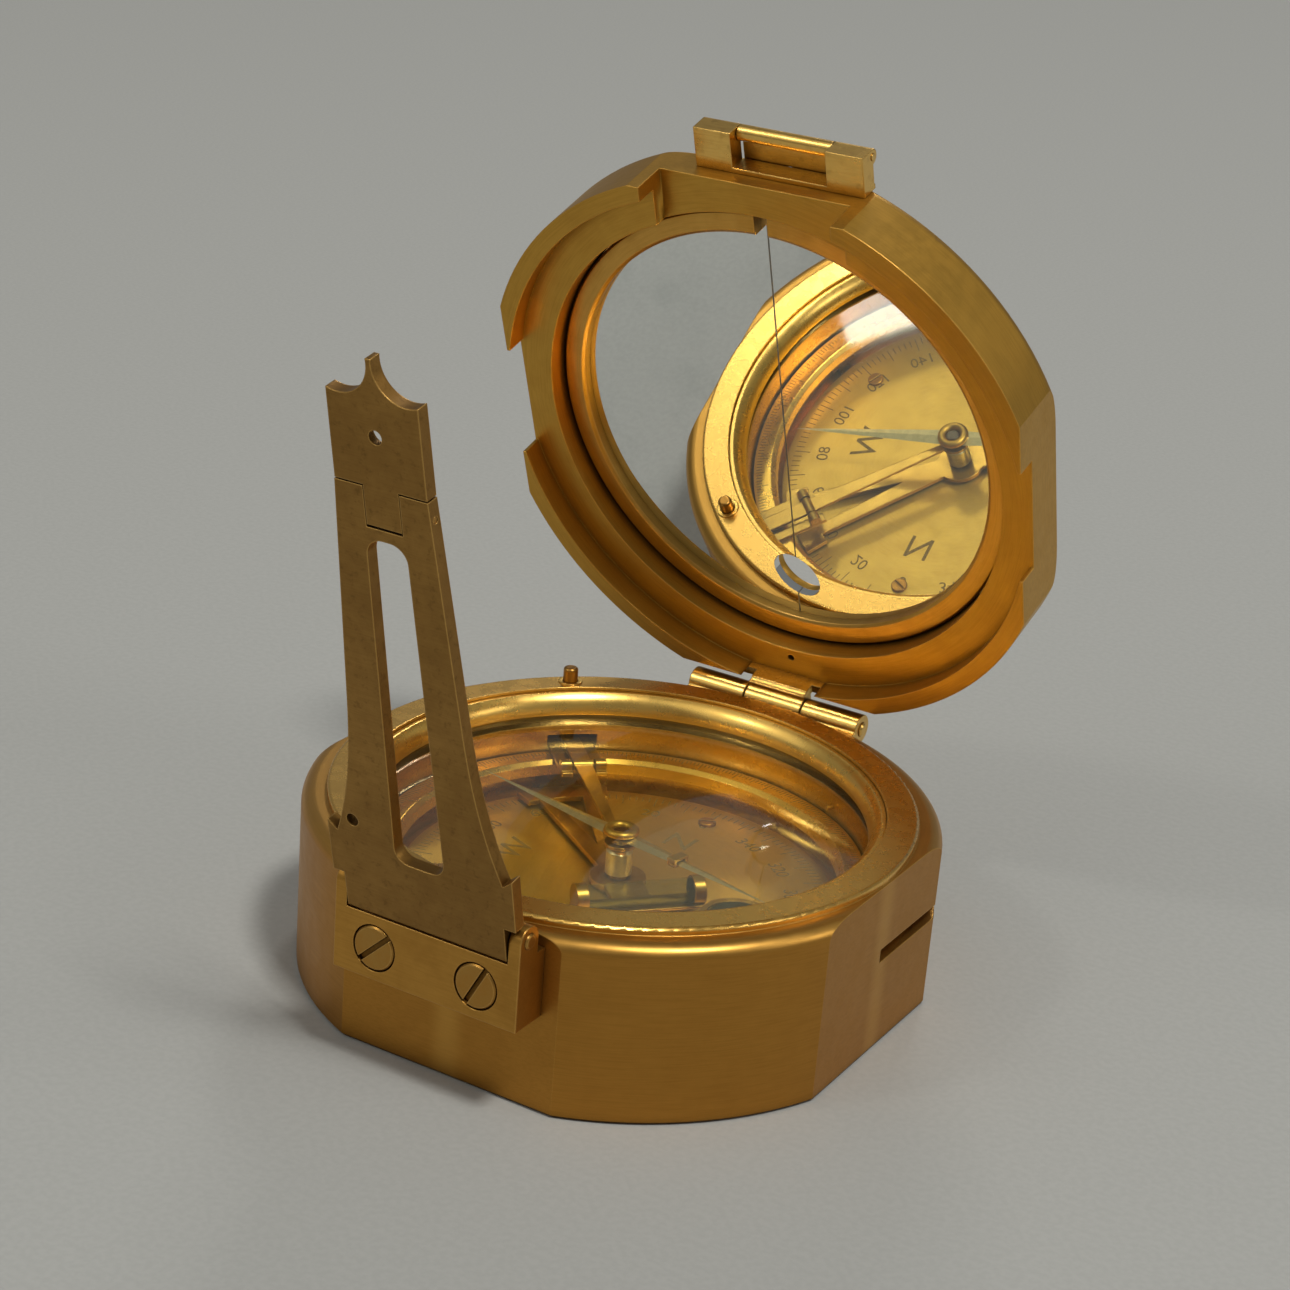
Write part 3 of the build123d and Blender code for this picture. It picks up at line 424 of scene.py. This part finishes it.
class Finishes:
    """Every finish of the compass, made once."""

    def __init__(self) -> None:
        """Builds the materials."""
        kinds = [
            # the case's brass is darker than the lid's: partly tarnish, partly painted shade for its dim
            # sides; faces that look up get a painted highlight
            Brass("case_brass_partly_shaded", roughness=0.40, stain_depth=0.18, colour=(0.52, 0.25, 0.045),
                  tarnish=(0.31, 0.135, 0.018), edge=(0.96, 0.58, 0.14), grain=Grain.SPUN,
                  bright_within=34.6 * MM, bright_above=0.35),
            Brass("lid_brass", roughness=0.38, stain_depth=0.22, colour=(0.64, 0.36, 0.062),
                  tarnish=(0.36, 0.175, 0.022), edge=(0.90, 0.50, 0.12), grain=Grain.SPUN, place=ON_LID),
            Brass("polished_brass", roughness=0.27, tarnish_share=0.2, colour=(1.0, 0.64, 0.16),
                  tarnish=(0.80, 0.46, 0.09), grain=Grain.SPUN, grain_depth=0.3, dirt=0.5),
            Brass("polished_lid_brass", roughness=0.3, tarnish_share=0.35, colour=(0.70, 0.39, 0.085),
                  tarnish=(0.42, 0.21, 0.03), grain=Grain.SPUN, grain_depth=0.2, place=ON_LID),
            Brass("hinge_brass", roughness=0.24, tarnish_share=0.25, colour=(0.95, 0.60, 0.16),
                  tarnish=(0.50, 0.27, 0.05), grain=Grain.DRAWN, mottle=0.3),
            # painted shade: the long sight's brass is made darker because the sight faces away from the
            # light
            Brass("shaded_sight_brass", roughness=0.42, tarnish_share=0.6, colour=(0.41, 0.225, 0.058),
                  tarnish=(0.22, 0.11, 0.025), grain=Grain.DRAWN, mottle=0.4, place=ON_SIGHT),
            Brass("bracket_brass", roughness=0.34, tarnish_share=0.4, colour=(0.56, 0.29, 0.058),
                  tarnish=(0.34, 0.155, 0.024), grain=Grain.DRAWN),
            Brass("screw_brass", roughness=0.32, tarnish_share=0.5, colour=(0.46, 0.26, 0.065), dirt=0.95),
            Brass("inner_brass", roughness=0.30, tarnish_share=0.35, colour=(0.62, 0.40, 0.11),
                  tarnish=(0.42, 0.25, 0.055)),
            Brass("dial_brass", roughness=0.46, tarnish_share=0.15, colour=(0.84, 0.57, 0.15),
                  tarnish=(0.62, 0.38, 0.085), grain=Grain.SPUN, grain_depth=0.15, dirt=0.3),
            Steel("needle_steel", colour=(0.93, 0.85, 0.62), roughness=0.3),
            Steel("spring_steel", colour=(0.45, 0.44, 0.42), roughness=0.35),
            Clear("window_glass"),
            Clear("vial_glass", tint=(0.90, 0.93, 0.74), dust=0.02, least=0.06),
            Clear("smoky_glass", tint=(0.70, 0.71, 0.50), dust=0.03, least=0.06),
            Silvered("looking_glass"),
            Plain("engraving_wax", (0.26, 0.16, 0.05), roughness=0.7),
            Plain("dark_jewel", (0.05, 0.012, 0.008), roughness=0.12, coat=0.6),
        ]
        self.by_name = {kind.name: kind.material() for kind in kinds}

    def dress(self, piece: bpy.types.Object, name: str) -> bpy.types.Object:
        """Gives a piece that finish alone.

        Args:
            piece: a CAD node or a new piece.
            name: the finish's name.

        Returns:
            The piece.
        """
        if not piece.data.materials:
            piece.data.materials.append(None)
        for index in range(len(piece.data.materials)):
            piece.data.materials[index] = self.by_name[name]
        return piece


# --- mesh helpers -----------------------------------------------------------------------------------------

def mesh_piece(name: str, shape: bmesh.types.BMesh, smooth_below: float = 35.0) -> bpy.types.Object:
    """Makes an object at the origin from a bmesh, with edges under that angle shaded smooth.

    Args:
        name: the piece's name.
        shape: the finished shape, which is used up.
        smooth_below: the angle in degrees.

    Returns:
        The new object.
    """
    mesh = bpy.data.meshes.new(name)
    shape.to_mesh(mesh)
    shape.free()
    for face in mesh.polygons:
        face.use_smooth = True
    mesh.set_sharp_from_angle(angle=radians(smooth_below))
    piece = bpy.data.objects.new(name, mesh)
    bpy.context.scene.collection.objects.link(piece)
    return piece


def softened(node: str, radius: float, sharp: float = 16.0) -> bpy.types.Object:
    """Makes a copy of a CAD node with its sharp outer edges rounded, which then stands for the node.

    Args:
        node: the CAD node.
        radius: how far the rounding reaches from each edge, in metres.
        sharp: the smallest angle of an edge that is rounded, in degrees.

    Returns:
        The new piece, on the node's body.
    """
    shape = bmesh.new()
    shape.from_mesh(frame["nodes"][node].data)
    bmesh.ops.remove_doubles(shape, verts=shape.verts, dist=1e-6)
    bmesh.ops.dissolve_limit(shape, angle_limit=radians(0.3), verts=shape.verts, edges=shape.edges)
    edges = [edge for edge in shape.edges
             if edge.is_manifold and edge.is_convex and edge.calc_face_angle() > radians(sharp)]
    bmesh.ops.bevel(shape, geom=edges, offset=radius, offset_type="OFFSET", affect="EDGES", segments=3,
                    profile=0.5, material=-1, clamp_overlap=True)
    piece = mesh_piece(node + "_softened", shape, smooth_below=40.0)
    weighted = piece.modifiers.new("weighted", "WEIGHTED_NORMAL")
    weighted.keep_sharp = True
    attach(piece, frame["nodes"][node]["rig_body"])
    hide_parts(node)
    return piece


# --- sub-assemblies ---------------------------------------------------------------------------------------

@dataclass
class Assembly:
    """A group of pieces that are made and dressed together."""

    finishes: Finishes
    made: list[str] = field(default_factory=list, init=False)

    def dress_nodes(self, finish: str, *nodes: str) -> None:
        """Gives CAD nodes a finish and notes them."""
        for node in nodes:
            self.finishes.dress(frame["nodes"][node], finish)
            self.made.append(node)

    def add(self, piece: bpy.types.Object, body: str, finish: str, slot: str) -> bpy.types.Object:
        """Dresses a new piece, hangs it on its body and notes it."""
        self.finishes.dress(piece, finish)
        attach(piece, body)
        self.made.append(piece.name)
        return piece

    def soften(self, node: str, radius: float, finish: str, slot: str) -> bpy.types.Object:
        """Replaces a CAD node with its softened copy."""
        piece = softened(node, radius)
        self.finishes.dress(piece, finish)
        self.made.append(piece.name)
        return piece

    def report(self) -> None:
        """Logs each piece."""
        for name in self.made:
            LOG.info("%s: %s", type(self).__name__, name)


@dataclass
class Case(Assembly):
    """The case, its glass, the lid hinge's fixed half, the lift pin and the adjuster."""

    def build(self) -> None:
        """Dresses the case's pieces."""
        self.dress_nodes("case_brass_partly_shaded", "case_body")
        self.dress_nodes("polished_brass", "glass_retaining_ring", "lift_pin_bush", "index_pin")
        self.soften("hinge_base_leaf", 0.12 * MM, "hinge_brass", "brass_bright")
        self.dress_nodes("hinge_brass", "lid_hinge_pin")
        self.dress_nodes("screw_brass", "hinge_base_screws", "adjusting_screw", "lift_pin",
                         "adjusting_pinion")
        self.dress_nodes("inner_brass", "lift_bracket", "lift_lever", "lift_fulcrum_pin", "spindle_bush")
        self.dress_nodes("spring_steel", "lift_spring")
        self.dress_nodes("window_glass", "glass_crystal")


@dataclass
class Dial(Assembly):
    """The dial plate with its engraving, the round level and the azimuth ring."""

    figure_radius: float = 20.6 * MM
    figure_size: float = 2.5 * MM
    letter_radius: float = 14.6 * MM
    letter_size: float = 5.2 * MM
    figure_step: int = 20
    ink: float = 0.02 * MM
    dial_step: int = 2
    dial_margin: float = 1.0 * MM
    dial_line: float = 0.12 * MM
    dial_lengths: tuple[float, float, float] = (1.2 * MM, 1.7 * MM, 2.3 * MM)
    ring_step: int = 1
    ring_margin: float = 0.4 * MM
    ring_line: float = 0.09 * MM
    ring_lengths: tuple[float, float, float] = (0.8 * MM, 1.2 * MM, 1.7 * MM)

    def engraved(self, text: str, size: float, radius: float, azimuth: float) -> bmesh.types.BMesh:
        """Makes one figure or letter lying on the dial, its foot towards the centre.

        Args:
            text: the figure or letter.
            size: its height in metres.
            radius: how far its middle is from the dial's axis.
            azimuth: its place round the dial, in degrees from +X.

        Returns:
            The shape in its place.
        """
        curve = bpy.data.curves.new("figure", "FONT")
        curve.body = text
        curve.size = size
        curve.align_x, curve.align_y = "CENTER", "CENTER"
        curve.extrude = self.ink / 2
        curve.resolution_u = 3
        holder = bpy.data.objects.new("figure", curve)
        mesh = bpy.data.meshes.new_from_object(holder)
        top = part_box("dial_plate")[1].z
        turn = Matrix.Rotation(radians(azimuth - 90.0), 4, "Z")
        reach = Matrix.Translation((0.0, radius, top + self.ink / 2))
        mesh.transform(turn @ reach)
        shape = bmesh.new()
        shape.from_mesh(mesh)
        bpy.data.objects.remove(holder)
        bpy.data.curves.remove(curve)
        return shape

    def figures(self) -> bpy.types.Object:
        """Makes the degree figures and the four letters as one inlay."""
        whole = bmesh.new()
        marks = [(letter, self.letter_size, self.letter_radius, 90.0 + 90.0 * turn)
                 for turn, letter in enumerate("NWSE")]
        marks += [(str(value), self.figure_size, self.figure_radius, 90.0 + value)
                  for value in range(0, 360, self.figure_step)]
        for text, size, radius, azimuth in marks:
            part = self.engraved(text, size, radius, azimuth)
            spare = bpy.data.meshes.new("part")
            part.to_mesh(spare)
            part.free()
            whole.from_mesh(spare)
            bpy.data.meshes.remove(spare)
        bmesh.ops.remove_doubles(whole, verts=whole.verts, dist=1e-7)
        return mesh_piece("dial_figures", whole)

    def ticks(self, name: str, step: int, outer: float, lengths: tuple[float, float, float], height: float,
              width: float) -> bpy.types.Object:
        """Makes a scale of radial lines as one inlay.

        Args:
            name: the piece's name.
            step: degrees between lines.
            outer: radius of the lines' outer ends.
            lengths: length of a common line, of each fifth degree's and of each tenth's.
            height: height of the surface that the lines lie on.
            width: width of a line.

        Returns:
            The new piece.
        """
        shape = bmesh.new()
        for value in range(0, 360, step):
            length = lengths[2] if value % 10 == 0 else lengths[1] if value % 5 == 0 else lengths[0]
            place = (Matrix.Rotation(radians(90.0 + value), 4, "Z")
                     @ Matrix.Translation((outer - length / 2, 0.0, height + self.ink / 2))
                     @ Matrix.Diagonal((length, width, self.ink, 1.0)))
            bmesh.ops.create_cube(shape, size=1.0, matrix=place)
        return mesh_piece(name, shape)

    def build(self) -> None:
        """Dresses the dial and engraves it."""
        self.dress_nodes("dial_brass", "dial_plate")
        self.dress_nodes("inner_brass", "dial_standoffs", "bullseye_housing")
        self.dress_nodes("screw_brass", "dial_screws")
        self.dress_nodes("polished_brass", "azimuth_ring")
        self.dress_nodes("smoky_glass", "bullseye_glass")
        self.add(self.figures(), "case", "engraving_wax", "brass_dial")
        dial_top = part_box("dial_plate")[1]
        ring_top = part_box("azimuth_ring")[1]
        lines = self.ticks("dial_scale", self.dial_step, dial_top.x - self.dial_margin,
                           self.dial_lengths, dial_top.z, self.dial_line)
        self.add(lines, "case", "engraving_wax", "brass_dial")
        lines = self.ticks("azimuth_scale", self.ring_step, ring_top.x - self.ring_margin,
                           self.ring_lengths, ring_top.z, self.ring_line)
        self.add(lines, "azimuth", "engraving_wax", "brass_bright")


@dataclass
class Clinometer(Assembly):
    """The clinometer's arm, tube level, spindle and lever."""

    def build(self) -> None:
        """Dresses the clinometer."""
        self.dress_nodes("inner_brass", "clinometer_arm", "clinometer_spindle", "level_holder",
                         "clinometer_lever")
        self.dress_nodes("screw_brass", "lever_screw")
        self.dress_nodes("vial_glass", "level_vial")
        self.dress_nodes("needle_steel", "needle_pivot")


@dataclass
class Needle(Assembly):
    """The balanced needle with its cap and jewel."""

    half_width: float = 1.35 * MM

    def blade(self) -> bpy.types.Object:
        """Makes the ridged blade, a flat four-sided pyramid that is turned to the needle's azimuth."""
        low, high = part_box("needle_blade")
        corners = [vertex.co for vertex in frame["nodes"]["needle_blade"].data.vertices]
        tip = max(corners, key=lambda corner: hypot(corner.x, corner.y))
        reach, azimuth = hypot(tip.x, tip.y), atan2(tip.y, tip.x)
        shape = bmesh.new()
        bmesh.ops.create_cone(shape, segments=4, radius1=1.0, radius2=0.0, depth=1.0, cap_ends=True)
        bmesh.ops.translate(shape, verts=shape.verts, vec=(0.0, 0.0, 0.5))
        for vertex in shape.verts:
            along, across, up = vertex.co
            vertex.co = (along * reach, across * self.half_width, low.z + up * (high.z - low.z))
        bmesh.ops.rotate(shape, verts=shape.verts, matrix=Matrix.Rotation(azimuth, 3, "Z"))
        return mesh_piece("needle_blade_ridged", shape, smooth_below=5.0)

    def build(self) -> None:
        """Builds and dresses the needle."""
        blade = self.add(self.blade(), "needle", "needle_steel", "steel_needle")
        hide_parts("needle_blade")
        self.dress_nodes("polished_brass", "needle_cap", "needle_counterweight")
        self.dress_nodes("dark_jewel", "needle_jewel")


@dataclass
class Lid(Assembly):
    """The lid, its looking-glass and the small sight."""

    def build(self) -> None:
        """Dresses the lid's pieces."""
        self.soften("lid_shell", 0.3 * MM, "lid_brass", "brass_body")
        self.dress_nodes("polished_lid_brass", "mirror_ring")
        self.dress_nodes("looking_glass", "mirror_glass")
        self.soften("hinge_lid_leaf", 0.12 * MM, "hinge_brass", "brass_bright")
        self.soften("small_sight_bracket", 0.18 * MM, "hinge_brass", "brass_bright")
        self.dress_nodes("hinge_brass", "small_sight_leaf", "small_sight_pin")
        self.dress_nodes("screw_brass", "hinge_lid_screws")


@dataclass
class LongSight(Assembly):
    """The long folding sight and its bracket."""

    def build(self) -> None:
        """Dresses the sight."""
        self.soften("sight_bracket", 0.2 * MM, "bracket_brass", "brass_sight")
        self.dress_nodes("screw_brass", "sight_bracket_screws", "sight_pivot_pin", "tip_hinge_pin")
        self.soften("sight_arm", 0.15 * MM, "shaded_sight_brass", "brass_sight")
        self.soften("sight_tip", 0.15 * MM, "shaded_sight_brass", "brass_sight")


# --- stage ------------------------------------------------------------------------------------------------

@dataclass(frozen=True)
class Lamp:
    """A square soft light that faces the compass."""

    name: str
    towards: tuple[float, float, float]
    distance: float
    size: float
    power: float
    colour: tuple[float, float, float]

    def hang(self, height: float) -> None:
        """Hangs the light.

        Args:
            height: height of the point that it faces, over the foot of the case, in metres.
        """
        data = bpy.data.lights.new(self.name, "AREA")
        data.shape = "SQUARE"
        data.size, data.energy, data.color = self.size, self.power, self.colour
        light = bpy.data.objects.new(self.name, data)
        away = Vector(self.towards).normalized()
        light.location = away * self.distance + Vector((0.0, 0.0, height))
        light.rotation_mode = "QUATERNION"
        light.rotation_quaternion = away.to_track_quat("Z", "Y")
        bpy.context.scene.collection.objects.link(light)


LAMPS = (
    Lamp("key", (0.42, -0.18, 0.89), 3.0, 0.5, 50.0, (1.0, 0.975, 0.93)),
    Lamp("side", (1.0, 0.30, 0.55), 2.6, 0.9, 7.0, (1.0, 0.98, 0.95)),
    Lamp("far", (-0.35, 1.0, 0.75), 3.0, 0.5, 12.0, (1.0, 0.98, 0.95)),
    Lamp("ceiling", (-0.41, -0.57, 0.71), 2.5, 2.4, 10.0, (1.0, 0.99, 0.96)),
    Lamp("bulb", (-0.41, -0.57, 0.71), 2.4, 0.22, 4.0, (1.0, 0.97, 0.90)),
)


@dataclass
class Studio:
    """Pale floor, soft lights and the camera."""

    floor_half: float = 6.0
    floor_colour: tuple[float, float, float] = (0.385, 0.390, 0.372)
    fibre_scale: float = 1200.0
    sky: tuple[float, float, float] = (0.50, 0.505, 0.50)
    sky_strength: float = 0.36
    view_azimuth: float = 29.567
    view_elevation: float = 21.544
    view_roll: float = 4.657
    view_distance: float = 308.93 * MM
    aim_right: float = 1.007 * MM
    aim_height: float = 40.621 * MM
    lens: float = 75.28
    film_width: float = 36.0

    def floor(self) -> None:
        """Lays the floor."""
        shape = bmesh.new()
        bmesh.ops.create_grid(shape, x_segments=1, y_segments=1, size=self.floor_half)
        floor = mesh_piece("floor", shape)
        graph = Graph("floor_paper")
        at = graph.add("TexCoord").outputs["Object"]
        fibre = graph.between(graph.noise(at, self.fibre_scale), 0.3, 0.7)
        colour = graph.blend(fibre, self.floor_colour, darker(self.floor_colour, 0.94))
        shader = graph.add("BsdfPrincipled", Base_Color=colour, Roughness=0.9)
        floor.data.materials.append(graph.finish(shader.outputs[0]))

    def world(self) -> None:
        """Gives the room a soft even light."""
        world = bpy.data.worlds.new("room")
        world.use_nodes = True
        background = world.node_tree.nodes["Background"]
        background.inputs["Color"].default_value = (*self.sky, 1.0)
        background.inputs["Strength"].default_value = self.sky_strength
        bpy.context.scene.world = world

    def camera(self) -> None:
        """Places the camera by its azimuth, elevation and roll about the point that it looks at."""
        turn, rise = radians(self.view_azimuth), radians(self.view_elevation)
        right = Vector((cos(turn), sin(turn), 0.0))
        back = Vector((sin(turn) * cos(rise), -cos(turn) * cos(rise), sin(rise)))
        upright = Matrix((right, back.cross(right), back)).transposed()
        aim = right * self.aim_right + Vector((0.0, 0.0, self.aim_height))
        data = bpy.data.cameras.new("camera")
        data.lens, data.sensor_width = self.lens, self.film_width
        data.clip_start, data.clip_end = 0.01, 50.0
        camera = bpy.data.objects.new("camera", data)
        camera.matrix_world = (Matrix.Translation(aim + back * self.view_distance) @ upright.to_4x4()
                               @ Matrix.Rotation(radians(self.view_roll), 4, "Z"))
        bpy.context.scene.collection.objects.link(camera)
        bpy.context.scene.camera = camera

    def build(self) -> None:
        """Sets the stage."""
        bpy.context.scene.view_settings.view_transform = "Standard"
        self.camera()
        self.floor()
        self.world()
        for lamp in LAMPS:
            lamp.hang(self.aim_height)


def main() -> None:
    """Builds the stage and every sub-assembly, in order."""
    logging.basicConfig(level=logging.INFO, format="%(message)s")
    Studio().build()
    finishes = Finishes()
    for kind in (Case, Dial, Clinometer, Needle, Lid, LongSight):
        assembly = kind(finishes)
        assembly.build()
        assembly.report()


if __name__ == "__main__":
    main()
